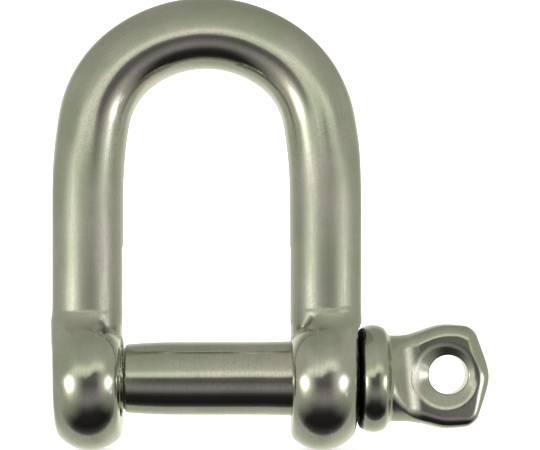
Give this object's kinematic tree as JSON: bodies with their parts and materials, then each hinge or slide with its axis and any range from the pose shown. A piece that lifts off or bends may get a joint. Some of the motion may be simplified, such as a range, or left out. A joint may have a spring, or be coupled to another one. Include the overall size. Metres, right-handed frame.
{
  "type": "d shackle",
  "caption": "Polished stainless D shackle: a round rod bent to a D with an ear on each leg, closed by a screw pin with a collar and a flat drilled eye.",
  "frame": {"origin": "middle of the jaw on the pin's axis", "axes": "+X along the pin towards its eye, +Z towards the crown, +Y through the bow, away from someone who sees the eye on the right"},
  "size_m": [0.06, 0.0196, 0.0619],
  "materials": {
    "body_steel": "polished stainless steel, satin on the legs, bright on the ears and the crown",
    "pin_steel": "bright polished stainless steel"
  },
  "bodies": {
    "shackle": {"shackle_body": "body_steel"},
    "pin": {"screw_pin": "pin_steel"}
  },
  "joints": [
    {"name": "pin_withdraw", "type": "slide", "parent": "shackle", "child": "pin", "axis": [1, 0, 0], "range_m": [0, 0.046]}
  ]
}
